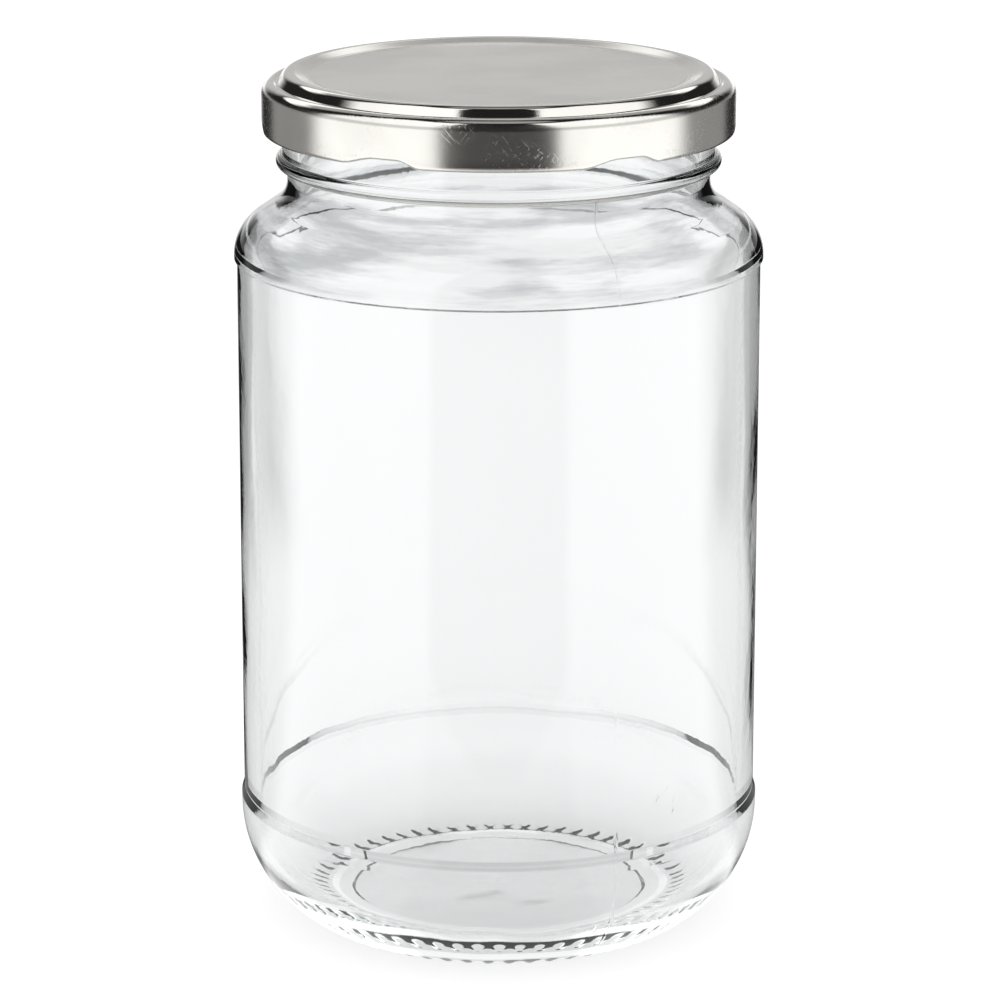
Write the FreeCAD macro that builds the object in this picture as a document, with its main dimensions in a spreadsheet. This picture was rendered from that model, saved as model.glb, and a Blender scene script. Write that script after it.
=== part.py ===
import FreeCAD, Part
import math
import os
import re

import Sketcher

# A twist-off glass jar, closed with its steel lid, in millimetres.
# The origin is the centre of the base on the surface that the jar stands on, +Z is up and the front is -Y.

SIZES = {
    # The glass, outside, from the base up.
    "body_radius": 47.6,          # heel and shoulder, the widest part
    "foot_curve": 3.0,
    "heel_curve": 23.5,
    "heel_level": 20.8,           # where the heel starts to curve in
    "panel_bottom": 22.9,
    "panel_height": 98.7,
    "panel_recess": 0.5,          # how far the label panel lies inside the heel and the shoulder
    "ledge_slope": 1.5,           # height of the small step at either end of the panel
    "shoulder_rise": 1.7,         # straight stretch above the panel
    "shoulder_curve": 8.0,
    "shoulder_angle": 55.0,       # degrees, between the straight of the shoulder and the upright
    "hollow_curve": 5.0,
    "neck_height": 1.9,
    "neck_inset": 0.9,            # how far the neck lies inside the finish
    "bead_round": 1.1,
    "bead_undercut": 0.5,
    "lid_gap": 3.85,              # between the bead and the lid's edge
    "skirt_cover": 9.25,          # how far the lid reaches down over the finish
    "finish_radius": 38.8,
    "rim_round": 0.9,
    # The underside.
    "bearing_width": 6.6,         # flat ring that the jar stands on
    "pushup_slope": 0.9,          # width of the slope from that ring to the raised underside
    "pushup_height": 0.75,
    "pushup_dome": 0.3,
    # The glass, inside.
    "wall_thickness": 2.8,
    "finish_wall": 3.0,
    "floor_level": 3.8,
    "floor_dome": 1.2,
    "floor_curve": 17.0,
    "inner_shoulder_curve": 5.2,
    "inner_hollow_curve": 7.0,
    "inner_shoulder_angle": 55.0,
    # The radial grooves that cut the bearing ring into a knurl.
    "knurl_count": 60,
    "knurl_depth": 0.65,
    "knurl_length": 5.2,
    "knurl_width": 2.2,           # widest, midway along a groove
    "knurl_reach": 2.2,           # how far a groove runs out past the bearing ring
    # The thread starts on the finish.
    "thread_height": 1.3,         # how far a thread stands out from the finish
    "thread_root": 2.2,
    "thread_crest": 0.8,
    "thread_rise": 2.4,
    "thread_span": 48.0,          # degrees
    "thread_overlap": 12.0,       # degrees that a thread runs past the middle of its lug
    "thread_clearance": 0.15,     # between a thread's lower end and the lug under it
    # The lid.
    "lid_gauge": 0.25,
    "skirt_clearance": 1.95,      # between the threads and the skirt
    "lid_shoulder_curve": 2.2,
    "channel_rise": 1.25,         # how far the ring over the glass rim stands above the lid's shoulder
    "channel_inset": 0.6,         # how far the flat of that ring lies inside the rim on either side
    "crease_clearance": 0.7,      # between the finish and the crease around that ring
    "crease_drop": 0.3,
    "label_inset": 1.5,           # how far the middle panel lies inside the bore
    "label_sink": 0.67,           # how far it lies below the ring around it
    "curl_round": 0.95,
    "lug_count": 6,
    "lug_turn": 2.0,              # degrees
    "lug_width": 18.0,            # degrees
    "lug_clearance": 0.55,        # between a lug's tip and the finish
    "lug_thickness": 0.75,
    "lug_lift": 1.3,              # how far the edge rises at a lug
    "lug_arch_foot": 17.0,
    "lug_arch_top": 7.0,
    # The sealing ring.
    "seal_thickness": 1.4,
    "seal_overhang": 0.3,         # how far the seal reaches past the flat of the rim on either side
    "seal_taper": 0.35,
}


def shoulder_top(wide, level, curve, hollow, narrow, angle):
    """Return the formula for the level where a shoulder's hollow arc meets the upright neck."""
    run = f"({wide} - {curve} - {narrow} - {hollow} + ({curve} + {hollow}) * cos({angle} * 1deg))"
    return f"({level} + ({curve} + {hollow}) * sin({angle} * 1deg) + {run} / tan({angle} * 1deg))"


# Sizes worked out from the ones above, as formulas.
PANEL_RADIUS = "(body_radius - panel_recess)"
PANEL_TOP = "(panel_bottom + panel_height)"
SHOULDER_LEVEL = f"({PANEL_TOP} + shoulder_rise)"
NECK_RADIUS = "(finish_radius - neck_inset)"
INNER_WALL = f"({PANEL_RADIUS} - wall_thickness)"
BORE_RADIUS = "(finish_radius - finish_wall)"
OUTER_SHOULDER = ("body_radius", SHOULDER_LEVEL, "shoulder_curve", "hollow_curve", NECK_RADIUS,
                  "shoulder_angle")
INNER_SHOULDER = (INNER_WALL, SHOULDER_LEVEL, "inner_shoulder_curve", "inner_hollow_curve", BORE_RADIUS,
                  "inner_shoulder_angle")
BEAD_LEVEL = f"({shoulder_top(*OUTER_SHOULDER)} + neck_height + bead_undercut + bead_round)"
LID_EDGE = f"({BEAD_LEVEL} + bead_round + lid_gap)"
LUG_FOOT = f"({LID_EDGE} + lug_lift)"
RIM_LEVEL = f"({LID_EDGE} + skirt_cover)"
LID_TOP = f"({RIM_LEVEL} + seal_thickness + lid_gauge)"
LID_RADIUS = "(finish_radius + thread_height + skirt_clearance + lid_gauge)"
RIM_OUTSIDE = "(finish_radius - rim_round)"
RIM_INSIDE = f"({BORE_RADIUS} + rim_round)"
HEEL_REACH = "sqrt((heel_curve - foot_curve)^2 - (heel_level - foot_curve)^2)"
FOOT_CENTRE = f"(body_radius - heel_curve + {HEEL_REACH})"

doc = FreeCAD.newDocument("twist_off_jar")
sheet = doc.addObject("Spreadsheet::Sheet", "Sizes")
for row, (alias, number) in enumerate(SIZES.items(), start=1):
    sheet.set(f"A{row}", alias)
    sheet.set(f"B{row}", str(number))
    sheet.setAlias(f"B{row}", alias)
doc.recompute()


def formula(text):
    """Put the sheet's name before every size that a formula uses."""
    return re.sub(r"[a-z]+(?:_[a-z]+)+", lambda word: "Sizes." + word.group(), str(text))


def worked_out(text):
    """Return the value of a formula as a plain number."""
    result = sheet.evalExpression(formula(text))
    return float(getattr(result, "Value", result))


def new_body(label):
    """Add a body for one piece of the jar."""
    body = doc.addObject("PartDesign::Body", label)
    body.Label = label
    return body


def datum(body, role):
    """Return one of a body's own origin planes or axes."""
    return next(item for item in body.Origin.OriginFeatures if item.Role == role)


def new_sketch(body, label, role="XZ_Plane"):
    """Add a sketch on one of the body's origin planes."""
    sketch = body.newObject("Sketcher::SketchObject", label)
    sketch.AttachmentSupport = [(datum(body, role), "")]
    sketch.MapMode = "FlatFace"
    return sketch


def bend(start, end, radius, side):
    """Return the arc from start to end that bulges to the right (side 1) or left (side -1) of its run."""
    chord = end - start
    half = chord.Length / 2
    drop = math.sqrt(max(radius**2 - half**2, 0.0))
    left = FreeCAD.Vector(-chord.y, chord.x, 0) / chord.Length
    centre = start + chord / 2 + left * drop * side
    first, last = (start, end) if side == 1 else (end, start)
    angles = [math.atan2(point.y - centre.y, point.x - centre.x) for point in (first, last)]
    circle = Part.Circle(centre, FreeCAD.Vector(0, 0, 1), radius)
    return Part.ArcOfCircle(circle, angles[0], angles[1] + 2 * math.pi * (angles[1] < angles[0]))


def outline(sketch, corners):
    """Draw a closed outline through corners given as formulas.

    A corner is (across, up), or (across, up, radius, side) where the edge that leaves it is an arc.
    """
    places = [FreeCAD.Vector(worked_out(corner[0]), worked_out(corner[1]), 0) for corner in corners]
    starts = []
    for index, corner in enumerate(corners):
        start, end = places[index], places[(index + 1) % len(places)]
        if len(corner) == 2:
            edge = sketch.addGeometry(Part.LineSegment(start, end), False)
            starts.append((edge, 1, 2))
        else:
            radius, side = corner[2:]
            edge = sketch.addGeometry(bend(start, end, worked_out(radius), side), False)
            starts.append((edge, 1, 2) if side == 1 else (edge, 2, 1))
            bound(sketch, Sketcher.Constraint("Radius", edge, worked_out(radius)), radius)
    for index, (edge, start, end) in enumerate(starts):
        following, its_start, _ = starts[(index + 1) % len(starts)]
        sketch.addConstraint(Sketcher.Constraint("Coincident", edge, end, following, its_start))
        for kind, axis, text in (("DistanceX", -2, corners[index][0]), ("DistanceY", -1, corners[index][1])):
            if text == "0":
                sketch.addConstraint(Sketcher.Constraint("PointOnObject", edge, start, axis))
            else:
                bound(sketch, Sketcher.Constraint(kind, -1, 1, edge, start, worked_out(text)), text)


def bound(sketch, constraint, text):
    """Add a constraint and bind its value to a formula."""
    index = sketch.addConstraint(constraint)
    sketch.setExpression(f"Constraints[{index}]", formula(text))


def add_feature(body, kind, label, profile, settings=None, **formulas):
    """Add a PartDesign feature made from a profile, with its settings and its bound sizes."""
    feature = body.newObject(f"PartDesign::{kind}", label)
    feature.Profile = profile
    for name, value in (settings or {}).items():
        setattr(feature, name, value)
    for name, text in formulas.items():
        feature.setExpression(name, formula(text))
    profile.Visibility = False
    body.Tip = feature
    doc.recompute()
    return feature


def turned(body, label, corners, angle="360"):
    """Turn a closed outline about the body's upright axis, all the way or evenly to both sides."""
    sketch = new_sketch(body, label + "_section")
    outline(sketch, corners)
    settings = {"ReferenceAxis": (datum(body, "Z_Axis"), [""]), "Midplane": True}
    return add_feature(body, "Revolution", label, sketch, settings, Angle=angle)


def patterned(body, label, features, count):
    """Repeat features evenly around the body's upright axis."""
    pattern = body.newObject("PartDesign::PolarPattern", label)
    pattern.Originals = features
    pattern.Axis = (datum(body, "Z_Axis"), [""])
    pattern.Angle = 360
    pattern.setExpression("Occurrences", formula(count))
    body.Tip = pattern
    doc.recompute()
    return pattern


def shoulder(wide, level, curve, hollow, narrow, angle):
    """Return the corners of a shoulder, from its foot up: an arc, a tangent straight and a hollow arc."""
    top = shoulder_top(wide, level, curve, hollow, narrow, angle)
    cosine, sine = f"cos({angle} * 1deg)", f"sin({angle} * 1deg)"
    straight_foot = (f"{wide} - {curve} + {curve} * {cosine}", f"{level} + {curve} * {sine}")
    straight_top = (f"{narrow} + {hollow} - {hollow} * {cosine}", f"{top} - {hollow} * {sine}")
    return (wide, level), straight_foot, straight_top, (narrow, top)


def dome_radius(half_width, rise):
    """Return the formula for the radius of a shallow dome."""
    return f"(({half_width})^2 + {rise}^2) / (2 * {rise})"


def glass_section():
    """Return the outline of the glass, up the outside and down the inside."""
    heel_scale = "heel_curve / (heel_curve - foot_curve)"
    heel_foot = (
        f"body_radius - heel_curve + {HEEL_REACH} * {heel_scale}",
        f"heel_level - (heel_level - foot_curve) * {heel_scale}",
    )
    pushup_edge = f"{FOOT_CENTRE} - bearing_width - pushup_slope"
    floor_edge = f"{INNER_WALL} - floor_curve"
    foot, rise, hollow_foot, neck = shoulder(*OUTER_SHOULDER)
    inner_foot, inner_rise, inner_hollow_foot, inner_neck = shoulder(*INNER_SHOULDER)
    return [
        ("0", "pushup_height + pushup_dome", dome_radius(pushup_edge, "pushup_dome"), -1),
        (pushup_edge, "pushup_height"),
        (f"{FOOT_CENTRE} - bearing_width", "0"),
        (FOOT_CENTRE, "0", "foot_curve", 1),
        (*heel_foot, "heel_curve", 1),
        ("body_radius", "heel_level"),
        ("body_radius", "panel_bottom - ledge_slope / 2"),
        (PANEL_RADIUS, "panel_bottom + ledge_slope / 2"),
        (PANEL_RADIUS, f"{PANEL_TOP} - ledge_slope / 2"),
        ("body_radius", f"{PANEL_TOP} + ledge_slope / 2"),
        (*foot, "shoulder_curve", 1),
        rise,
        (*hollow_foot, "hollow_curve", -1),
        neck,
        (NECK_RADIUS, f"{BEAD_LEVEL} - bead_round - bead_undercut"),
        ("finish_radius", f"{BEAD_LEVEL} - bead_round", "bead_round", 1),
        ("finish_radius + bead_round", BEAD_LEVEL, "bead_round", 1),
        ("finish_radius", f"{BEAD_LEVEL} + bead_round"),
        ("finish_radius", f"{RIM_LEVEL} - rim_round", "rim_round", 1),
        (RIM_OUTSIDE, RIM_LEVEL),
        (RIM_INSIDE, RIM_LEVEL, "rim_round", 1),
        (BORE_RADIUS, f"{RIM_LEVEL} - rim_round"),
        (*inner_neck, "inner_hollow_curve", 1),
        inner_hollow_foot,
        (*inner_rise, "inner_shoulder_curve", -1),
        inner_foot,
        (INNER_WALL, "floor_level + floor_curve", "floor_curve", -1),
        (floor_edge, "floor_level", dome_radius(floor_edge, "floor_dome"), 1),
        ("0", "floor_level + floor_dome"),
    ]


def cut_knurl(body):
    """Cut the bearing ring into a knurl with lens-shaped radial grooves."""
    bow_radius = "((knurl_length / 2)^2 + (knurl_width / 2)^2) / knurl_width"
    lens = new_sketch(body, "knurl_outline", "XY_Plane")
    outline(lens, [
        (f"{FOOT_CENTRE} + knurl_reach", "0", bow_radius, 1),
        (f"{FOOT_CENTRE} + knurl_reach - knurl_length", "0", bow_radius, 1),
    ])
    groove = add_feature(body, "Pocket", "knurl_groove", lens, {"Reversed": True}, Length="knurl_depth")
    patterned(body, "knurl", [groove], "knurl_count")


def add_threads(body):
    """Add the thread starts, each above its lug and rising to the right."""
    foot = f"{LUG_FOOT} + lug_thickness + thread_clearance"
    root = "finish_radius - thread_height / 2"
    crest = "finish_radius + thread_height"
    section = new_sketch(body, "thread_section")
    upright = FreeCAD.Rotation(FreeCAD.Vector(0, 1, 0), 1)
    section.AttachmentOffset = FreeCAD.Placement(FreeCAD.Vector(), upright)
    section.setExpression("AttachmentOffset.Rotation.Angle", formula("(lug_turn - thread_overlap) * 1deg"))
    outline(section, [
        (root, foot),
        ("finish_radius", foot),
        (crest, f"{foot} + (thread_root - thread_crest) / 2"),
        (crest, f"{foot} + (thread_root + thread_crest) / 2"),
        ("finish_radius", f"{foot} + thread_root"),
        (root, f"{foot} + thread_root"),
    ])
    settings = {"ReferenceAxis": (datum(body, "Z_Axis"), [""]), "Mode": "pitch-height-angle"}
    thread = add_feature(body, "AdditiveHelix", "thread", section, settings,
                         Pitch="thread_rise * 360 / thread_span", Height="thread_rise")
    patterned(body, "threads", [thread], "lug_count")


def make_jar():
    """The glass: one moulded piece with a knurled bearing ring and six thread starts."""
    body = new_body("jar")
    turned(body, "glass", glass_section())
    cut_knurl(body)
    add_threads(body)
    return body


def shell_section():
    """Return the outline of the lid's sheet and rolled edge, along the underside and back over the top."""
    inner_radius = f"{LID_RADIUS} - lid_gauge"
    crown_radius = f"{LID_RADIUS} - lid_shoulder_curve"
    crown = f"({LID_TOP} - channel_rise)"
    skirt_top = f"{crown} - lid_shoulder_curve"
    label_radius = f"{BORE_RADIUS} - label_inset"
    label_top = f"{LID_TOP} - label_sink"
    ring_inside = f"{BORE_RADIUS} + channel_inset"
    ring_outside = "finish_radius - channel_inset"
    crease = "(finish_radius + crease_clearance)"
    curl_level = f"({LID_EDGE} + curl_round)"
    curl_radius = f"({LID_RADIUS} - curl_round)"
    curl_join = f"{curl_level} + sqrt(curl_round^2 - (curl_round - lid_gauge)^2)"
    return [
        ("0", f"{label_top} - lid_gauge"),
        (label_radius, f"{label_top} - lid_gauge"),
        (ring_inside, f"{LID_TOP} - lid_gauge"),
        (ring_outside, f"{LID_TOP} - lid_gauge"),
        (f"{crease} - lid_gauge", f"{crown} - crease_drop - lid_gauge"),
        (crown_radius, f"{crown} - lid_gauge", "lid_shoulder_curve - lid_gauge", -1),
        (inner_radius, skirt_top),
        (inner_radius, curl_join, "curl_round", 1),
        (curl_radius, f"{curl_level} + curl_round", "curl_round", 1),
        (f"{curl_radius} - curl_round", curl_level, "curl_round", 1),
        (curl_radius, LID_EDGE, "curl_round", 1),
        (LID_RADIUS, curl_level),
        (LID_RADIUS, skirt_top, "lid_shoulder_curve", 1),
        (crown_radius, crown),
        (crease, f"{crown} - crease_drop"),
        (ring_outside, LID_TOP),
        (ring_inside, LID_TOP),
        (label_radius, label_top),
        ("0", label_top),
    ]


def press_lugs(body):
    """Lift the rolled edge into an arch at each lug, and turn the lug in under the threads."""
    arch = new_sketch(body, "arch_outline", "YZ_Plane")
    outline(arch, [
        ("-lug_arch_foot / 2", LID_EDGE),
        ("lug_arch_foot / 2", LID_EDGE),
        ("lug_arch_top / 2", LUG_FOOT),
        ("-lug_arch_top / 2", LUG_FOOT),
    ])
    cut = add_feature(body, "Pocket", "arch", arch, {"Type": "ThroughAll", "Reversed": True})
    lug = turned(body, "lug", [
        ("finish_radius + lug_clearance", LUG_FOOT),
        (f"{LID_RADIUS} - lid_gauge / 2", LUG_FOOT),
        (f"{LID_RADIUS} - lid_gauge / 2", f"{LUG_FOOT} + lug_thickness"),
        ("finish_radius + lug_clearance", f"{LUG_FOOT} + lug_thickness"),
    ], "lug_width")
    patterned(body, "lugs", [cut, lug], "lug_count")


def make_lid():
    """The steel lid: a pressed shell with a rolled edge and six lugs."""
    body = new_body("lid")
    turned(body, "shell", shell_section())
    press_lugs(body)
    body.setExpression("Placement.Rotation.Angle", formula("lug_turn * 1deg"))
    return body


def make_seal():
    """The ring of sealing compound between the glass rim and the lid."""
    body = new_body("seal")
    inside = f"{RIM_INSIDE} - seal_overhang"
    outside = f"{RIM_OUTSIDE} + seal_overhang"
    top = f"{RIM_LEVEL} + seal_thickness"
    turned(body, "ring", [
        (inside, RIM_LEVEL),
        (outside, RIM_LEVEL),
        (f"{outside} - seal_taper", top),
        (f"{inside} + seal_taper", top),
    ])
    return body


pieces = [make_jar(), make_lid(), make_seal()]
doc.recompute()

for item in doc.Objects:
    if "Invalid" in item.State or "Error" in item.State:
        raise RuntimeError(f"{item.Label} failed: {item.State}")
for piece in pieces:
    if piece.Shape.isNull() or not piece.Shape.isValid():
        raise RuntimeError(f"{piece.Label} has no valid shape")
    print(piece.Label, len(piece.Shape.Solids), round(piece.Shape.Volume, 1), piece.Shape.BoundBox)

os.makedirs("parts", exist_ok=True)
for piece in pieces:
    piece.Shape.exportStep(f"parts/{piece.Label}.step")
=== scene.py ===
"""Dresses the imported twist-off glass jar: glass, tinplate lid, sealing ring, floor, light and camera."""

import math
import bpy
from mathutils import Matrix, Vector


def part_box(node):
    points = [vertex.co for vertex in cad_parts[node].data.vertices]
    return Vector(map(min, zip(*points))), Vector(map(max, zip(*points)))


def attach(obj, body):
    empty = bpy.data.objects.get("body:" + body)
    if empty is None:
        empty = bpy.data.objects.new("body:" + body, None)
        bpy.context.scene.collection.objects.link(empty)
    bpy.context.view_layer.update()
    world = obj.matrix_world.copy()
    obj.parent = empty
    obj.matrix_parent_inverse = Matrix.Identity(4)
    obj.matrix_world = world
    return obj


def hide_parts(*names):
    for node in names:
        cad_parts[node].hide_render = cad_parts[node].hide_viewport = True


bl_info = {
    "name": "Twist-Off Glass Jar",
    "version": (1, 0, 0),
    "blender": (4, 5, 0),
    "location": "View3D > Sidebar > Glass Jar",
    "description": "Builds a glass jar with a twist-off lid around its packed solids",
    "category": "Add Mesh",
}

import bpy
import numpy as np

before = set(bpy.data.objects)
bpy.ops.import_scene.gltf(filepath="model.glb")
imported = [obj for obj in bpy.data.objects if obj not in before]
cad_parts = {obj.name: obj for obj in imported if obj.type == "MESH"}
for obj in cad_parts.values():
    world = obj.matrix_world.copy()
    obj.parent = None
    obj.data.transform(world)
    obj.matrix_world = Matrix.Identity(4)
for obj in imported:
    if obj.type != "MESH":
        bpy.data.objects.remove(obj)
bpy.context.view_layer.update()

MM = 0.001
FRONT = -math.pi / 2
HALF_TURN = 180.0
ARC_STEP = math.radians(8.5)

# Glass: lengths in millimetres, angles in degrees
SEAMS = (26.0, 206.0)
DOTS = [(144.0, 12.5), (146.5, 12.6), (144.8, 10.0), (147.4, 9.4), (132.0, 11.0), (133.4, 8.6),
        (126.0, 10.4), (126.8, 8.0), (128.2, 9.2)]
DOT_HEIGHT = 0.4
DOT_WIDTH = 0.8
HEEL_CURVE = 23.5
FOOT_CURVE = 3.0
HEEL_UNDER_PANEL = 2.1
SLOPE_ANGLE = 55.0
SHOULDER_CURVE = 8.0
NECK_HOLLOW = 5.0
NECK_INSET = 0.9
BORE_INSET = 3.0
BEARING_WIDTH = 6.6
BEAD_RADIUS = 1.1
BARE_FINISH = 3.85
LID_COVER = 9.25
THREADS = 6
THREAD_ARC = 48.0
THREAD_CLIMB = 2.4

# Studio: edges of its panels in degrees from the front
BOX_STARTS = (25.0, 31.0)
BOX_ENDS = (90.0, 104.0)
BOX_LIGHT = 1.5
UNLIT = 0.02


def plain(corners):
    """Turn a pair of corners into lists of plain numbers."""
    return [[float(value) for value in corner] for corner in corners]


def length(name, text, millimetres, **extra):
    """Return a length setting whose default is given in millimetres."""
    return bpy.props.FloatProperty(name=name, description=text, default=millimetres * MM, unit="LENGTH",
                                   precision=5, **extra)


def degrees(name, text, value):
    """Return an angle setting whose default is given in degrees."""
    return bpy.props.FloatProperty(name=name, description=text, default=math.radians(value), unit="ROTATION")


def share(name, text, value):
    """Return a setting between nothing and one."""
    return bpy.props.FloatProperty(name=name, description=text, default=value, min=0.0, max=1.0,
                                   subtype="FACTOR")


def colour(name, text, value):
    """Return a colour setting."""
    return bpy.props.FloatVectorProperty(name=name, description=text, default=value, size=3, min=0.0,
                                         max=1.0, subtype="COLOR")


class GlassSizes(bpy.types.PropertyGroup):
    """Sizes and finish of the glass."""

    body_radius: length("Body radius", "Radius of the heel and of the shoulder", 47.6)
    panel_recess: length("Panel recess", "How far the label panel lies inside the heel", 0.5)
    panel_bottom: length("Panel bottom", "Level of the lower edge of the label panel", 22.9)
    panel_height: length("Panel height", "Height of the label panel", 98.7)
    finish_radius: length("Finish radius", "Radius of the glass under the lid", 38.8)
    wall: length("Wall", "Thickness of the glass in the label panel", 2.8)
    wave: length("Wave", "How far the inner wall strays from a true circle", 0.12)
    seam_height: length("Seam height", "How far the mould seams stand out", 0.07)
    knurl_depth: length("Knurl depth", "How far the knurl stands out", 0.45)
    knurl_count: bpy.props.IntProperty(name="Knurl count", description="Crescents around the base",
                                       default=60, min=12)
    thread_height: length("Thread height", "How far a thread stands out", 1.3)
    tint: colour("Tint", "Colour of light that crosses the glass surface", (0.992, 0.993, 0.9955))
    depth_tint: colour("Depth tint", "Colour of light after a long way through the glass",
                       (0.70, 0.86, 0.82))
    density: bpy.props.FloatProperty(name="Density", description="How fast the depth tint builds up",
                                     default=10.0, min=0.0)


class LidSizes(bpy.types.PropertyGroup):
    """Sizes and finish of the lid."""

    skirt_radius: length("Skirt radius", "Radius of the lid outside its skirt", 42.3)
    curl_radius: length("Curl radius", "Half the height of the rolled edge", 0.95)
    lug_lift: length("Lug lift", "How far the edge rises at a lug", 1.3)
    lug_turn: degrees("Lug turn", "Direction of the first lug", 2.0)
    lug_count: bpy.props.IntProperty(name="Lug count", description="Lugs around the lid", default=6, min=2)
    metal: colour("Metal", "Colour of the tinplate", (0.66, 0.645, 0.61))
    roughness: share("Roughness", "Satin finish of the tinplate", 0.18)


class SealSizes(bpy.types.PropertyGroup):
    """Finish of the sealing ring."""

    compound: colour("Compound", "Colour of the sealing compound", (0.78, 0.77, 0.72))


class StageSizes(bpy.types.PropertyGroup):
    """Camera, floor and light."""

    distance: length("Distance", "From the camera to the middle of the jar", 800.0)
    elevation: degrees("Elevation", "How far the camera looks down", 15.05)
    target: length("Target", "Level that the camera looks at", 76.84)
    focal: bpy.props.FloatProperty(name="Focal length", description="Lens of the camera in millimetres",
                                   default=157.7, min=10.0)
    shift: bpy.props.FloatProperty(name="Shift", description="How far the frame is moved sideways",
                                   default=0.0013, precision=4)
    floor_reach: length("Floor reach", "From the jar to the edge of the floor", 6000.0)
    floor_colour: colour("Floor colour", "Colour of the floor", (0.36, 0.36, 0.36))


# Meshes


def rounded(corners, step):
    """Carry a line through corners (across, up, radius), each rounded by an arc of its radius.

    An arc touches both of its runs at radius * tan(half the turn) from the corner. Its centre lies on the
    inside of the turn, one radius from both runs. A run gets a point close to each of its ends and then
    points no further apart than step.
    """
    places = np.array([corner[:2] for corner in corners], float)
    radii = [corner[2] for corner in corners]
    guard = 0.10
    points = [places[0]]
    for index in range(1, len(places)):
        start = points[-1]
        here = places[index]
        before = (here - places[index - 1]) / np.linalg.norm(here - places[index - 1])
        if index < len(places) - 1:
            after = (places[index + 1] - here) / np.linalg.norm(places[index + 1] - here)
            cross = before[0] * after[1] - before[1] * after[0]
            turn = math.atan2(cross, before @ after)
        else:
            turn = 0.0
        touch = radii[index] * abs(math.tan(turn / 2))
        end = here - before * touch
        run = np.linalg.norm(end - start)
        if run > 4 * guard:
            inner = np.linspace(guard, run - guard, max(2, math.ceil(run / step) + 1))
            points.extend(start + before * distance for distance in inner)
        elif run > guard:
            points.append(start + before * run / 2)
        if touch > 0:
            sideways = np.array([-before[1], before[0]]) * math.copysign(radii[index], turn)
            count = max(3, math.ceil(abs(turn) / ARC_STEP))
            swept = np.linspace(0, turn, count + 1)[:, None]
            centre = end + sideways
            arm = -sideways
            arc = centre + arm * np.cos(swept) + np.array([-arm[1], arm[0]]) * np.sin(swept)
            points.extend(arc)
        else:
            points.append(end)
    return np.array(points)


def sloped(wide, level, curve, hollow, narrow, angle):
    """Return the two corners of a shoulder and the level where its upper arc ends.

    The straight between the arcs leans inwards by angle. The lower corner stands over the lower arc's foot by
    curve * tan(angle / 2), and the upper arc ends hollow * tan(angle / 2) over the upper corner.
    """
    lean = math.radians(angle)
    low = level + curve * math.tan(lean / 2)
    high = low + (wide - narrow) / math.tan(lean)
    return (wide, low, curve), (narrow, high, hollow), high + hollow * math.tan(lean / 2)


def joined(low_angles, high_angles, low_first, high_first):
    """Return the triangles between two rings whose points lie at different angles.

    Every edge of either ring makes one triangle, whose third corner is the point that the other ring has
    reached when the middles of all edges are taken in order of angle.
    """
    low_next = np.append(low_angles[1:], low_angles[0] + 2 * math.pi)
    high_next = np.append(high_angles[1:], high_angles[0] + 2 * math.pi)
    low_middle = (low_angles + low_next) / 2
    high_middle = (high_angles + high_next) / 2
    low_index = np.arange(len(low_angles))
    high_index = np.arange(len(high_angles))
    apex_high = np.searchsorted(high_middle, low_middle, side="left") % len(high_angles)
    apex_low = np.searchsorted(low_middle, high_middle, side="right") % len(low_angles)
    low_side = np.stack([low_first + low_index, low_first + (low_index + 1) % len(low_angles),
                         high_first + apex_high], 1)
    high_side = np.stack([high_first + high_index, low_first + apex_low,
                          high_first + (high_index + 1) % len(high_angles)], 1)
    return np.concatenate([low_side, high_side]).tolist()


def grid_faces(rings, count, first):
    """Return the four-sided faces of a closed band of rings, each with count points."""
    ring = np.arange(rings - 1)[:, None] * count + first
    column = np.arange(count)[None, :]
    following = (column + 1) % count
    corners = [ring + column, ring + following, ring + following + count, ring + column + count]
    return np.stack([corner.ravel() for corner in corners], 1).tolist()


def along_normal(section):
    """Return the unit vectors square to a section, on the right of its run."""
    run = np.gradient(section, axis=0)
    run = run / np.linalg.norm(run, axis=1)[:, None]
    return np.stack([run[:, 1], -run[:, 0]], 1)


def turned_mesh(name, bands):
    """Turn bands of a section about the upright axis into one closed mesh.

    A band is (section, angles, relief): its points are (across * cos(angle), across * sin(angle), up) after
    every point has moved along the section's normal by relief(across, up, angle). The first and the last ring
    are closed by triangles to a point on the axis.
    """
    rings = []
    faces = []
    first = 0
    previous = None
    for section, angles, relief in bands:
        normal = along_normal(section)
        across = np.repeat(section[:, :1], len(angles), 1)
        up = np.repeat(section[:, 1:], len(angles), 1)
        angle = np.repeat(angles[None, :], len(section), 0)
        if relief is not None:
            shift = relief(across, up, angle)
            across = across + shift * normal[:, :1]
            up = up + shift * normal[:, 1:]
        points = np.stack([across * np.cos(angle), across * np.sin(angle), up], 2)
        rings.append(points.reshape(-1, 3))
        faces += grid_faces(len(section), len(angles), first)
        if previous is not None:
            faces += joined(previous[0], angles, previous[1], first)
        previous = (angles, first + (len(section) - 1) * len(angles))
        first += len(section) * len(angles)
    low, high = bands[0][0][0], bands[-1][0][-1]
    column = np.arange(len(bands[0][1]))
    faces += np.stack([column * 0 + first, (column + 1) % len(column), column], 1).tolist()
    column = np.arange(len(previous[0]))
    faces += np.stack([previous[1] + column, previous[1] + (column + 1) % len(column),
                       column * 0 + first + 1], 1).tolist()
    rings.append(np.array([(0, 0, low[1]), (0, 0, high[1])]))
    mesh = bpy.data.meshes.new(name)
    mesh.from_pydata(np.concatenate(rings) * MM, [], faces)
    mesh.update()
    mesh.polygons.foreach_set("use_smooth", np.ones(len(mesh.polygons), bool))
    mesh.update()
    piece = bpy.data.objects.new(name, mesh)
    bpy.context.scene.collection.objects.link(piece)
    return piece


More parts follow.
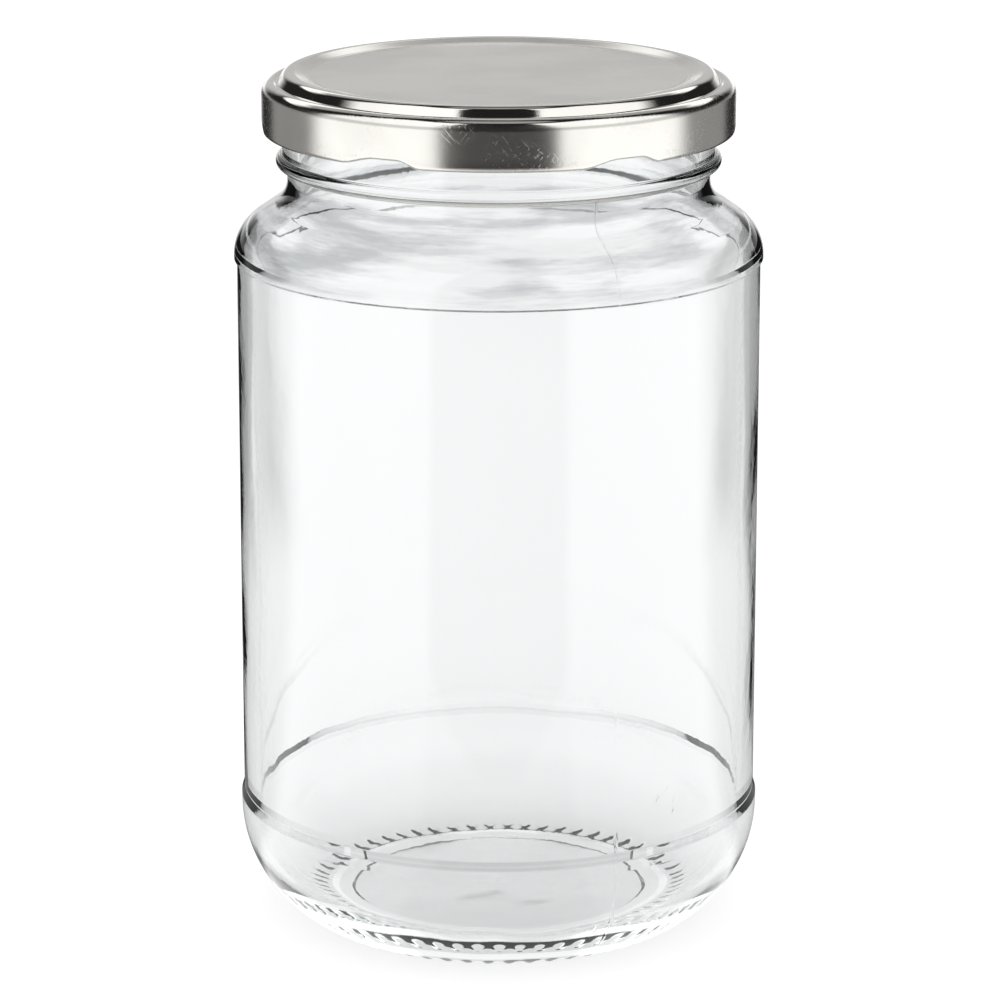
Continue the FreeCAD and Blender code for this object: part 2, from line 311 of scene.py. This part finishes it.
def smoothstep(low, high, value):
    """Rise from 0 at low to 1 at high along 3t^2 - 2t^3."""
    t = np.clip((value - low) / (high - low), 0, 1)
    return t * t * (3 - 2 * t)


def bump(value, width):
    """Return a rounded ridge of height 1 at 0 that ends smoothly at width on both sides."""
    return 1 - smoothstep(0, width, np.abs(value))


def off_front(angle, turn):
    """Return how far an angle lies from a direction given in degrees to the right of the front."""
    offset = angle - (FRONT + math.radians(turn))
    return (offset + math.pi) % (2 * math.pi) - math.pi


def evenly(count):
    """Return count angles evenly around."""
    return np.arange(count) * 2 * math.pi / count


def crowded(count, places):
    """Return angles evenly around, and closer together about each place (degrees, half width, step)."""
    extra = [np.arange(-half, half + step / 2, step) + place for place, half, step in places]
    extra = np.radians(np.concatenate(extra)) + FRONT
    angles = np.concatenate([evenly(count), extra % (2 * math.pi)])
    return np.unique(np.round(angles, 4))


# Materials


class Signal:
    """One output of a node, on which sums and products add Math nodes."""

    def __init__(self, maker, socket):
        self.maker = maker
        self.socket = socket

    def maths(self, operation, *others):
        return self.maker.maths(operation, self, *others)

    def __add__(self, other):
        return self.maths("ADD", other)

    def __radd__(self, other):
        return self.maths("ADD", other)

    def __sub__(self, other):
        return self.maths("SUBTRACT", other)

    def __rsub__(self, other):
        return self.maker.maths("SUBTRACT", other, self)

    def __mul__(self, other):
        return self.maths("MULTIPLY", other)

    def __rmul__(self, other):
        return self.maths("MULTIPLY", other)

    def clipped(self):
        """Keep the value between 0 and 1."""
        return self.maker.out("ShaderNodeClamp", sockets={"Value": self})


class Maker:
    """Adds the nodes of one material or world."""

    def __init__(self, tree):
        tree.nodes.clear()
        self.tree = tree

    def node(self, kind, settings=None, sockets=None):
        """Add a node of any kind, set its settings first and then give its sockets values or links."""
        node = self.tree.nodes.new(kind)
        for name, value in (settings or {}).items():
            setattr(node, name, value)
        for key, value in (sockets or {}).items():
            socket = node.inputs[key]
            if isinstance(value, Signal):
                self.tree.links.new(value.socket, socket)
            elif isinstance(value, (tuple, list)) and len(value) == 3 and len(socket.default_value) == 4:
                socket.default_value = (*value, 1)
            else:
                socket.default_value = value
        return node

    def out(self, kind, settings=None, sockets=None, output=0):
        """Add a node and return one of its outputs."""
        return Signal(self, self.node(kind, settings, sockets).outputs[output])

    def maths(self, operation, *values):
        """Add a Math node."""
        return self.out("ShaderNodeMath", {"operation": operation}, dict(enumerate(values)))

    def smooth(self, value, low, high, bottom=0.0, top=1.0):
        """Let a value between low and high rise smoothly from bottom to top."""
        return self.out("ShaderNodeMapRange", {"interpolation_type": "SMOOTHSTEP"},
                        {"Value": value, "From Min": low, "From Max": high, "To Min": bottom, "To Max": top})

    def fade(self, value, low, high):
        """Let a value between low and high fall smoothly from 1 to 0."""
        return self.smooth(value, low, high, 1.0, 0.0)

    def parts(self, vector):
        """Return the three parts of a vector."""
        split = self.node("ShaderNodeSeparateXYZ", None, {0: vector})
        return [Signal(self, output) for output in split.outputs]

    def length_of(self, vector):
        """Return the length of a vector."""
        return self.out("ShaderNodeVectorMath", {"operation": "LENGTH"}, {0: vector}, 1)

    def blend(self, factor, first, second):
        """Mix two colours."""
        node = self.node("ShaderNodeMix", {"data_type": "RGBA"}, {0: factor, 6: first, 7: second})
        return Signal(self, node.outputs[2])

    def noise(self, vector, scale, detail=2.0, roughness=0.5):
        """Add soft random spots."""
        return self.out("ShaderNodeTexNoise", None,
                        {"Vector": vector, "Scale": scale, "Detail": detail, "Roughness": roughness})

    def scaled(self, vector, factors, turn=(0.0, 0.0, 0.0)):
        """Stretch and turn the places that a pattern is read at."""
        return self.out("ShaderNodeMapping", None,
                        {"Vector": vector, "Scale": factors, "Rotation": turn})

    def ray(self, name):
        """Return 1 on rays of one kind."""
        return Signal(self, self.node("ShaderNodeLightPath").outputs[name])

    def finish(self, shader, volume=None):
        """Wire a shader to the material's output."""
        output = self.node("ShaderNodeOutputMaterial", None, {"Surface": shader})
        if volume is not None:
            self.tree.links.new(volume.socket, output.inputs["Volume"])


def new_material(name):
    """Start a material and return it with its maker."""
    material = bpy.data.materials.new(name)
    material.use_nodes = True
    return material, Maker(material.node_tree)


def moulded_glass(sizes):
    """Clear glass with the faint ripple of its mould and a tint that grows with depth.

    The surface is greyer in soft streaks and towards the foot, and painted shade greys a thin line under the
    label panel and flat clouds around the shoulder.
    """
    material, maker = new_material("moulded_glass")
    place = maker.out("ShaderNodeTexCoord", output=3)
    drawn = maker.scaled(place, (1.0, 1.0, 0.35))
    ripple = maker.noise(drawn, 55.0, 2.0, 0.4) + maker.noise(place, 330.0, 2.0, 0.5) * 0.06
    normal = maker.out("ShaderNodeBump", None, {"Strength": 0.35, "Distance": 0.0004, "Height": ripple})
    streak = maker.smooth(maker.noise(drawn, 24.0, 3.0, 0.55), 0.40, 0.70)
    _, _, height = maker.parts(place)
    above = height - (sizes.panel_bottom + sizes.panel_height)
    shoulder = maker.smooth(above, -0.0006, 0.0044) * maker.fade(above, 0.0154, 0.0204)
    flat = maker.scaled(place, (1.0, 1.0, 9.0), (0.05, 0.03, 0.0))
    painted_shoulder_streaks = maker.smooth(maker.noise(flat, 30.0, 4.0, 0.6), 0.47, 0.64)
    foot = maker.fade(height, 0.012, 0.024)
    below = sizes.panel_bottom - height
    painted_ledge_line = maker.smooth(below, 0.0001, 0.0004) * maker.fade(below, 0.0008, 0.0011)
    # Painted shade: the grey line under the label panel and the grey clouds on the shoulder darken the
    # glass's colour where the step below the panel and the shoulder would be shaded
    cloud = 0.03 + streak * 0.03 + foot * 0.05 + painted_ledge_line * 0.35 + shoulder * (0.06 + painted_shoulder_streaks * 1.1)
    shade = maker.blend(cloud, tuple(sizes.tint), (0.62, 0.63, 0.645))
    glass = maker.out("ShaderNodeBsdfPrincipled", None, {
        "Base Color": shade, "Roughness": 0.0, "IOR": 1.52, "Transmission Weight": 1.0, "Normal": normal,
    })
    depth = maker.out("ShaderNodeVolumeAbsorption", None,
                      {"Color": tuple(sizes.depth_tint), "Density": sizes.density})
    maker.finish(glass, depth)
    return material


def satin_tinplate(sizes):
    """Tinplate with a rolled grain across the lid, fine scratches and a few soft smudges."""
    material, maker = new_material("satin_tinplate")
    place = maker.out("ShaderNodeTexCoord", output=3)
    grain = maker.noise(maker.scaled(place, (60.0, 1400.0, 1400.0), (0.0, 0.0, 0.35)), 1.0, 2.0, 0.6)
    cloud = maker.noise(place, 38.0, 3.0, 0.55)
    fine = maker.noise(place, 2600.0, 1.0, 0.5)
    unit = (1.0, 1.0, 1.0)
    leaning = maker.scaled(maker.scaled(place, unit, (0.15, 0.75, 0.0)), (3600.0, 3600.0, 170.0))
    crossing = maker.scaled(maker.scaled(place, unit, (-0.2, -0.6, 0.3)), (3100.0, 3100.0, 150.0))
    first = maker.noise(leaning, 1.0, 1.0, 0.5)
    second = maker.noise(crossing, 1.0, 1.0, 0.5)
    x, y, _ = maker.parts(place)
    radius = maker.length_of(maker.out("ShaderNodeCombineXYZ", None, {0: x, 1: y}))
    on_skirt = maker.smooth(radius, 0.0395, 0.0415, 0.04, 1.0)
    worn = maker.smooth(maker.noise(place, 70.0, 2.0, 0.5), 0.42, 0.55)
    scratch = (maker.smooth(first, 0.60, 0.72) + maker.smooth(second, 0.61, 0.73)) * worn * on_skirt
    height = grain * 0.5 + fine * 0.25 + scratch * 0.6
    normal = maker.out("ShaderNodeBump", None, {"Strength": 0.30, "Distance": 0.00003, "Height": height})
    pale = tuple(min(1.0, channel * 1.06) for channel in sizes.metal)
    dull = tuple(channel * 0.93 for channel in sizes.metal)
    shade = maker.blend(maker.smooth(cloud, 0.35, 0.65), dull, pale)
    drawn_edge = maker.smooth(radius, 0.0360, 0.0372) * maker.fade(radius, 0.0418, 0.0422)
    roughness = (sizes.roughness + (cloud - 0.5) * 0.10 + scratch * 0.12) * (1.0 - drawn_edge * 0.62)
    metal = maker.out("ShaderNodeBsdfPrincipled", None, {
        "Base Color": shade, "Metallic": 1.0, "Roughness": roughness, "Normal": normal,
    })
    maker.finish(metal)
    return material


def sealing_compound(sizes):
    """Soft pale compound with a slightly uneven skin."""
    material, maker = new_material("sealing_compound")
    place = maker.out("ShaderNodeTexCoord", output=3)
    cloud = maker.noise(place, 160.0, 3.0, 0.5)
    dull = tuple(channel * 0.9 for channel in sizes.compound)
    shade = maker.blend(maker.smooth(cloud, 0.35, 0.65), dull, tuple(sizes.compound))
    normal = maker.out("ShaderNodeBump", None, {"Strength": 0.3, "Distance": 0.00005, "Height": cloud})
    soft = maker.out("ShaderNodeBsdfPrincipled", None,
                     {"Base Color": shade, "Roughness": 0.55 + cloud * 0.1, "Normal": normal})
    maker.finish(soft)
    return material


def around_front(maker, vector):
    """Return how far a direction lies from the front, in degrees, and its part straight up."""
    x, y, z = maker.parts(vector)
    azimuth = maker.maths("ABSOLUTE", maker.maths("ARCTAN2", x, -1.0 * y)) * (HALF_TURN / math.pi)
    return azimuth, z


def studio_walls(maker, vector):
    """Brightness of the studio's walls in reflections.

    By azimuth from the front: a dark gap, a tall white softbox that is dimmer low down, an unlit side with a
    grey skirting, and a pale wall at the back with a bright foot. A ceiling hangs over the back, bright along
    its lower edge, and a small grey patch hangs straight overhead.
    """
    azimuth, z = around_front(maker, vector)
    past_box = maker.smooth(azimuth, *BOX_ENDS)
    back = maker.smooth(azimuth, 150.0, 168.0)
    box = maker.smooth(azimuth, *BOX_STARTS) * (1.0 - past_box) * maker.fade(z, 0.91, 0.95)
    box = box * maker.smooth(z, 0.32, 0.40, 0.92, BOX_LIGHT)
    wall = back * maker.fade(z, 0.34, 0.42) * 0.60
    skirting = (past_box - back) * maker.fade(z, 0.05, 0.15) * 0.30
    foot = back * maker.fade(z, 0.03, 0.12) * 0.7
    ceiling = maker.smooth(z, 0.40, 0.44) * maker.smooth(z, 0.56, 0.62, 1.5, 0.50)
    ceiling = ceiling * maker.fade(z, 0.86, 0.90) * maker.smooth(azimuth, 120.0, 140.0)
    overhead = maker.smooth(z, 0.965, 0.98) * 0.45
    return UNLIT + box + wall + skirting + foot + ceiling + overhead


def painted_studio_reflection(maker, place):
    """Painted reflection: the brightness that the ground glows with for mirrored rays only.

    In the dark gap at the front it is white near the jar, dark further out and grey between, and the white
    ends nearer to the jar away from the middle. Elsewhere it continues the walls.
    """
    azimuth, _ = around_front(maker, place)
    distance = maker.length_of(place)
    box = maker.smooth(azimuth, *BOX_STARTS) * maker.fade(azimuth, *BOX_ENDS)
    side = maker.smooth(azimuth, *BOX_ENDS) * maker.fade(azimuth, 136.0, 142.0)
    side = side * maker.smooth(distance, 0.50, 0.56, 0.30, 0.31)
    back = maker.smooth(azimuth, 160.0, 168.0)
    bowed = azimuth * azimuth * 0.0001
    near = maker.fade(distance - bowed.clipped(), 0.150, 0.170)
    middle = maker.fade(distance, 0.50, 0.60)
    gap = maker.fade(azimuth, *BOX_STARTS) * (near * 0.95 + (1.0 - near) * (0.05 + middle * 0.25))
    return UNLIT + gap + box * BOX_LIGHT + side + back


def studio_world():
    """Even white light, with the studio's panels for reflections and a pale wall behind glass."""
    world = bpy.data.worlds.new("studio")
    world.use_nodes = True
    world.cycles.sampling_method = "NONE"
    maker = Maker(world.node_tree)
    direction = maker.out("ShaderNodeTexCoord", output=0)
    glow = studio_walls(maker, direction)
    azimuth, height = around_front(maker, direction)
    between = maker.smooth(azimuth, 95.0, 110.0) * maker.fade(azimuth, 125.0, 140.0)
    through = maker.smooth(height, 0.22, 0.60, 1.0, 0.55) * (1.0 - between * 0.45)
    mirrored = maker.ray("Is Glossy Ray")
    level = glow * mirrored + (1.0 - mirrored)
    crossing = maker.ray("Is Transmission Ray")
    level = level * (1.0 - crossing) + through * crossing
    light = maker.out("ShaderNodeBackground", None, {"Color": (1.0, 1.0, 1.0), "Strength": level})
    maker.node("ShaderNodeOutputWorld", None, {"Surface": light})
    return world


def studio_floor(sizes):
    """Pale matt floor that glows to white where no shadow falls, shows mirrored rays a painted studio
    reflection, and glows dimmer through the glass, with painted shade close under the jar and in a band
    behind it on both sides.
    """
    material, maker = new_material("pale_floor")
    material.cycles.emission_sampling = "NONE"
    place = maker.out("ShaderNodeTexCoord", output=3)
    mottle = maker.noise(place, 9.0, 2.0, 0.5)
    pale = tuple(sizes.floor_colour)
    shade = maker.blend(mottle, tuple(channel * 0.99 for channel in pale), pale)
    matt = maker.out("ShaderNodeBsdfDiffuse", None, {"Color": shade})
    distance = maker.length_of(place)
    azimuth, _ = around_front(maker, place)
    # Painted shade for rays through the glass: the glow is a little dimmer close under the jar and much
    # dimmer in a band behind the jar to both sides
    edge = maker.smooth(azimuth, 136.0, 142.0) * maker.fade(azimuth, 158.0, 166.0)
    edge = edge * maker.smooth(distance, 0.22, 0.34)
    through = maker.smooth(distance, 0.030, 0.070, 0.62, 0.65) * (1.0 - edge * 0.6)
    level = maker.ray("Is Camera Ray") * 0.78 + maker.ray("Is Transmission Ray") * through
    glow = maker.out("ShaderNodeEmission", None, {"Color": (1.0, 1.0, 1.0), "Strength": level})
    plain_floor = maker.out("ShaderNodeAddShader", None, {0: matt, 1: glow})
    # Painted reflection: mirrored rays see the floor glow as studio panels instead of the plain floor
    studio = maker.out("ShaderNodeEmission", None,
                       {"Color": (1.0, 1.0, 1.0), "Strength": painted_studio_reflection(maker, place)})
    mirrored = maker.ray("Is Glossy Ray") * (1.0 - maker.ray("Is Transmission Ray"))
    maker.finish(maker.out("ShaderNodeMixShader", None, {0: mirrored, 1: plain_floor, 2: studio}))
    return material


# Pieces


def millimetres(sizes):
    """Return the lengths of a group of settings in millimetres."""
    return {key: getattr(sizes, key) / MM for key in sizes.__annotations__
            if sizes.bl_rna.properties[key].unit == "LENGTH"}


def make_glass(sizes):
    """Build the glass: outside from the base up, over the rim and down the inside."""
    size = millimetres(sizes)
    body, finish = size["body_radius"], size["finish_radius"]
    panel = body - size["panel_recess"]
    inner = panel - size["wall"]
    bore = finish - BORE_INSET
    low, high = size["panel_bottom"], size["panel_bottom"] + size["panel_height"] + 1.0
    level = high + 0.7
    foot, slope_top, neck_level = sloped(body, level, SHOULDER_CURVE, NECK_HOLLOW, finish - NECK_INSET,
                                         SLOPE_ANGLE)
    bead = neck_level + 2.4 + BEAD_RADIUS
    rim = bead + BEAD_RADIUS + BARE_FINISH + LID_COVER
    inner_foot, inner_top, _ = sloped(inner, level + 0.9, 4.8, 7.0, bore, SLOPE_ANGLE)
    heel_level = low - HEEL_UNDER_PANEL
    heel_middle = body - HEEL_CURVE
    heel_reach = math.sqrt((HEEL_CURVE - FOOT_CURVE)**2 - (heel_level - FOOT_CURVE)**2)
    foot_centre = heel_middle + heel_reach
    knurls = sizes.knurl_count
    knurl_pitch = 2 * math.pi / knurls

    def arc(centre, radius, start, end, count):
        """Arc: centre + radius * (cos t, sin t) for t from start to end in degrees."""
        swept = np.radians(np.linspace(start, end, count))
        return np.stack([centre[0] + radius * np.cos(swept), centre[1] + radius * np.sin(swept)], 1)

    heel_angle = math.degrees(math.atan2(FOOT_CURVE - heel_level, heel_reach))
    slope_foot = foot_centre - BEARING_WIDTH
    underside = rounded([(0.6, 0.70, 0), (14.0, 0.60, 60.0), (slope_foot - 0.6, 0.40, 0.3),
                         (slope_foot, 0.0, 0.3), (foot_centre - 3.4, 0.0, 0)], 3.0)
    bearing = plain([(foot_centre - across, 0.0) for across in np.linspace(3.2, 0.0, 8)])
    foot_arc = arc((foot_centre, FOOT_CURVE), FOOT_CURVE, -90, heel_angle, 6)[1:]
    heel_arc = arc((heel_middle, heel_level), HEEL_CURVE, heel_angle, 0, 26)
    knurl_zone = np.concatenate([bearing, foot_arc, heel_arc[1:5]])
    rest = heel_arc[5:]
    bead_foot, bead_top = bead - BEAD_RADIUS, bead + BEAD_RADIUS
    upward = rounded([
        (body, heel_level + 0.1, 0), (body, low - 0.75, 0.2), (panel, low + 0.75, 0.2),
        (panel, high - 0.25, 0.2), (body, high + 0.25, 0.2), foot, slope_top,
        (finish - NECK_INSET, bead_foot - 0.5, 0.25), (finish, bead_foot, 0.15),
        (finish + 0.3, bead_foot, 0.2),
    ], 3.2)
    bead_arc = arc((finish, bead), BEAD_RADIUS, -74, 74, 12)
    finish_run = rounded([
        (finish + 0.3, bead_top, 0), (finish, bead_top, 0.2), (finish, rim, 0.9), (bore, rim, 0.9),
        (bore, rim - 2.2, 0),
    ], 0.5)
    throat = rounded([
        (bore, rim - 2.4, 0), inner_top, (*inner_foot[:2], 5.2), (inner, high - 4.0, 0),
    ], 0.9)
    inside = rounded([
        (inner, high - 4.5, 0), (inner, 2.9, 16.1), (16.0, 3.5, 40.0), (0.6, 3.9, 0),
    ], 3.0)

    def knurl(across, up, angle):
        """Knurl: rounded radial bars, with the glass between them set back to a smooth surface."""
        along = np.abs(across - foot_centre - 0.8) / 2.2
        offset = (angle / knurl_pitch) % 1.0 - 0.5
        between = smoothstep(0.04, 0.46, np.abs(offset))
        return -size["knurl_depth"] * between * (1 - smoothstep(0.10, 1.0, along))

    def outside(across, up, angle):
        """Seams: two narrow ridges up the side, a little uneven. Dots: small raised beads on the heel."""
        shift = np.zeros_like(angle)
        wander = smoothstep(high - 0.6, high + 3.4, up)
        for turn in SEAMS:
            offset = off_front(angle + 0.0035 * np.sin(up * 0.9) * wander, turn)
            on_panel = smoothstep(low - 2, low + 4, up) * (1 - smoothstep(high - 2, high + 4, up))
            on_shoulder = smoothstep(high - 1, high + 3, up)
            height = size["seam_height"] * (1 - 0.7 * on_panel + 0.5 * on_shoulder)
            height *= 1.0 if turn == SEAMS[0] else 0.3
            shift += height * bump(offset, 0.0075) * smoothstep(1.0, 4.0, up)
        for turn, centre in DOTS:
            shape = np.hypot(off_front(angle, turn) * across, (up - centre) * 1.15)
            shift += DOT_HEIGHT * bump(shape, DOT_WIDTH)
        return shift

    def threads(across, up, angle):
        """Threads: six ridges that rise to the right, seen from outside, each with tapering ends."""
        shift = np.zeros_like(angle)
        pitch = 2 * math.pi / THREADS
        lowest = bead_top + BARE_FINISH + 3.3
        for index in range(THREADS):
            start = math.radians(-10.0) + pitch * index
            swept = np.degrees((angle - start + math.pi / 3) % (2 * math.pi) - math.pi / 3)
            centre = lowest + THREAD_CLIMB * swept / THREAD_ARC
            ends = smoothstep(0.0, 5.0, swept) * (1 - smoothstep(THREAD_ARC - 5.0, THREAD_ARC, swept))
            shift += size["thread_height"] * ends * (1 - smoothstep(0.4, 1.1, np.abs(up - centre)))
        return shift * smoothstep(finish - 0.5, finish - 0.2, across)

    def uneven(across, up, angle):
        """The inner wall: slow waves around and upwards, with quicker ones in the panel, fading at the mouth.

        The floor has pools instead: the product of a wave across and a wave along.
        """
        angle = math.pi - angle
        slow = np.sin(2 * angle + 0.6 + up * 0.013) + 0.7 * np.sin(3 * angle + 2.1 - up * 0.021)
        quick = 0.45 * np.sin(7 * angle + 0.05 * up) * np.sin(up * 0.083 + 1.2)
        fine = 0.25 * np.sin(13 * angle - 0.08 * up + 0.7) * np.sin(up * 0.17)
        pools = (np.sin(0.33 * across * np.sin(angle + 0.4) + 1.0)
                 * np.sin(0.29 * across * np.cos(angle) + 0.5))
        fade = 1 - smoothstep(high + 13.4, high + 19.4, up)
        on_floor = 1 - smoothstep(6.5, 12.0, up)
        in_panel = 1 - smoothstep(high - 10.6, high - 2.6, up)
        wall_shift = size["wave"] * (slow + (quick + fine) * in_panel) * 0.5 * fade
        return wall_shift * (1 - on_floor) + 0.10 * pools * on_floor

    coarse, middle, fine_round = evenly(144), evenly(204), evenly(knurls * 12)
    places = [(turn, 1.2, 0.15) for turn in SEAMS] + [(140.0, 14.0, 0.6)]
    seamed = crowded(228, places)
    bands = [
        (underside, coarse, None),
        (knurl_zone, fine_round, knurl),
        (rest, seamed, outside),
        (upward, seamed, outside),
        (bead_arc, seamed, None),
        (finish_run, middle, threads),
        (throat, middle, uneven),
        (inside, middle, uneven),
    ]
    piece = turned_mesh("glass_jar", bands)
    piece.data.materials.append(moulded_glass(sizes))
    return piece


def make_lid_shell(sizes):
    """Build the lid: over the top and down the skirt, around the rolled edge and back up the inside.

    At each lug the rolled edge is raised by lug_lift and drawn in to lug_tip. In between, every point lies at
    section + (pressed - section) * arch, where arch is a smooth hump of the angle.
    """
    size = millimetres(sizes)
    skirt = size["skirt_radius"]
    edge, top = (corner[2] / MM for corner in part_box("lid"))
    label = top - 0.67
    crown = top - 1.7
    gauge = 0.25
    outer = rounded([
        (0.6, label, 0), (33.6, label, 0.3), (33.8, label - 0.07, 0.1), (34.0, label, 0.1),
        (34.3, label, 0.6), (36.4, top, 0.8), (38.2, top, 1.4), (39.5, crown - 0.3, 0.3), (40.15, crown, 0.3),
        (skirt, crown, 2.05), (skirt, edge + 2.6, 0),
    ], 2.5)
    inner = rounded([
        (skirt - gauge, edge + 3.4, 0), (skirt - gauge, crown - gauge, 1.8), (40.15, crown - gauge, 0.2),
        (39.4, crown - 0.3 - gauge, 0.3), (38.1, top - gauge, 0.4), (36.4, top - gauge, 0.6),
        (34.3, label - gauge, 0.4), (0.6, label - gauge, 0),
    ], 2.5)
    curl = size["curl_radius"]
    lug_tip = 39.35
    centre = (skirt - curl, edge + curl)
    swept = np.radians(np.linspace(12, -258, 30))
    rolled = np.stack([centre[0] + curl * np.cos(swept), centre[1] + curl * np.sin(swept)], 1)
    lifted = rolled + [0, size["lug_lift"]]
    inward = smoothstep(-80, -130, np.degrees(swept)) * (1 - smoothstep(-235, -258, np.degrees(swept)))
    lifted[:, 0] -= (centre[0] - curl - lug_tip) * inward
    lifted[:, 1] -= 0.45 * inward * (lifted[:, 1] > centre[1] + size["lug_lift"])
    lifted[-1] = rolled[-1]
    angles = evenly(420)
    section = np.concatenate([outer, rolled, inner])
    pressed = np.concatenate([outer, lifted, inner])
    piece = turned_mesh("tinplate_lid", [(section, angles, None)])
    pitch = 2 * math.pi / sizes.lug_count
    swing = np.degrees((angles - sizes.lug_turn + pitch / 2) % pitch - pitch / 2)
    arch = smoothstep(-12.5, -2.5, swing) * (1 - smoothstep(3.5, 9.5, swing))
    across = section[:, :1] + (pressed - section)[:, :1] * arch
    up = section[:, 1:] + (pressed - section)[:, 1:] * arch
    points = np.stack([across * np.cos(angles), across * np.sin(angles), up], 2).reshape(-1, 3) * MM
    places = np.empty(len(piece.data.vertices) * 3)
    piece.data.vertices.foreach_get("co", places)
    places = places.reshape(-1, 3)
    places[:len(points)] = points
    piece.data.vertices.foreach_set("co", places.ravel())
    piece.data.update()
    piece.data.materials.append(satin_tinplate(sizes))
    return piece


class JAR_OT_glass(bpy.types.Operator):
    """Build the glass jar and let it stand for its solid"""

    bl_idname = "jar.glass"
    bl_label = "Glass"

    def execute(self, context):
        piece = make_glass(context.scene.jar_glass)
        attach(piece, "root")
        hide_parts("jar")
        return {"FINISHED"}


class JAR_OT_lid(bpy.types.Operator):
    """Build the tinplate lid and let it stand for its solid"""

    bl_idname = "jar.lid"
    bl_label = "Lid"

    def execute(self, context):
        piece = make_lid_shell(context.scene.jar_lid)
        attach(piece, "root")
        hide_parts("lid")
        return {"FINISHED"}


class JAR_OT_seal(bpy.types.Operator):
    """Give the sealing ring its compound"""

    bl_idname = "jar.seal"
    bl_label = "Seal"

    def execute(self, context):
        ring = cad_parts["seal"]
        material = sealing_compound(context.scene.jar_seal)
        for slot in ring.material_slots:
            slot.material = material
        return {"FINISHED"}


class JAR_OT_stage(bpy.types.Operator):
    """Lay the floor, light the studio and place the camera"""

    bl_idname = "jar.stage"
    bl_label = "Stage"

    def execute(self, context):
        sizes = context.scene.jar_stage
        reach = sizes.floor_reach
        corners = np.array([(-1, -1, 0), (1, -1, 0), (1, 1, 0), (-1, 1, 0)]) * reach
        mesh = bpy.data.meshes.new("floor")
        mesh.from_pydata(corners, [], [(0, 1, 2, 3)])
        floor = bpy.data.objects.new("floor", mesh)
        floor.data.materials.append(studio_floor(sizes))
        context.scene.collection.objects.link(floor)

        context.scene.world = studio_world()

        camera = bpy.data.objects.new("camera", bpy.data.cameras.new("camera"))
        camera.data.lens = sizes.focal
        camera.data.sensor_width = 36.0
        camera.data.clip_start = 0.05
        camera.data.clip_end = 50.0
        camera.data.shift_x = sizes.shift
        across = sizes.distance * math.cos(sizes.elevation)
        above = sizes.distance * math.sin(sizes.elevation)
        camera.location = (0.0, -across, sizes.target + above)
        camera.rotation_euler = (math.pi / 2 - sizes.elevation, 0.0, 0.0)
        context.scene.collection.objects.link(camera)
        context.scene.camera = camera
        context.scene.view_settings.view_transform = "Standard"
        return {"FINISHED"}


class JAR_PT_panel(bpy.types.Panel):
    """Lists the pieces of the jar and their settings"""

    bl_label = "Glass Jar"
    bl_idname = "JAR_PT_panel"
    bl_space_type = "VIEW_3D"
    bl_region_type = "UI"
    bl_category = "Glass Jar"

    def draw(self, context):
        for operator, group in zip(OPERATORS, GROUPS):
            column = self.layout.column()
            column.operator(operator.bl_idname)
            settings = getattr(context.scene, group)
            for key in settings.__annotations__:
                column.prop(settings, key)


SETTINGS = (GlassSizes, LidSizes, SealSizes, StageSizes)
GROUPS = ("jar_glass", "jar_lid", "jar_seal", "jar_stage")
OPERATORS = (JAR_OT_glass, JAR_OT_lid, JAR_OT_seal, JAR_OT_stage)


def register():
    """Register the classes and hang their settings on the scene."""
    for cls in (*SETTINGS, *OPERATORS, JAR_PT_panel):
        bpy.utils.register_class(cls)
    for name, cls in zip(GROUPS, SETTINGS):
        setattr(bpy.types.Scene, name, bpy.props.PointerProperty(type=cls))


def unregister():
    """Take the settings and the classes away again."""
    for name in GROUPS:
        delattr(bpy.types.Scene, name)
    for cls in reversed((*SETTINGS, *OPERATORS, JAR_PT_panel)):
        bpy.utils.unregister_class(cls)


def main():
    """Build every piece and the stage."""
    register()
    bpy.ops.jar.glass()
    bpy.ops.jar.lid()
    bpy.ops.jar.seal()
    bpy.ops.jar.stage()
    bpy.context.view_layer.update()


if __name__ == "__main__":
    main()
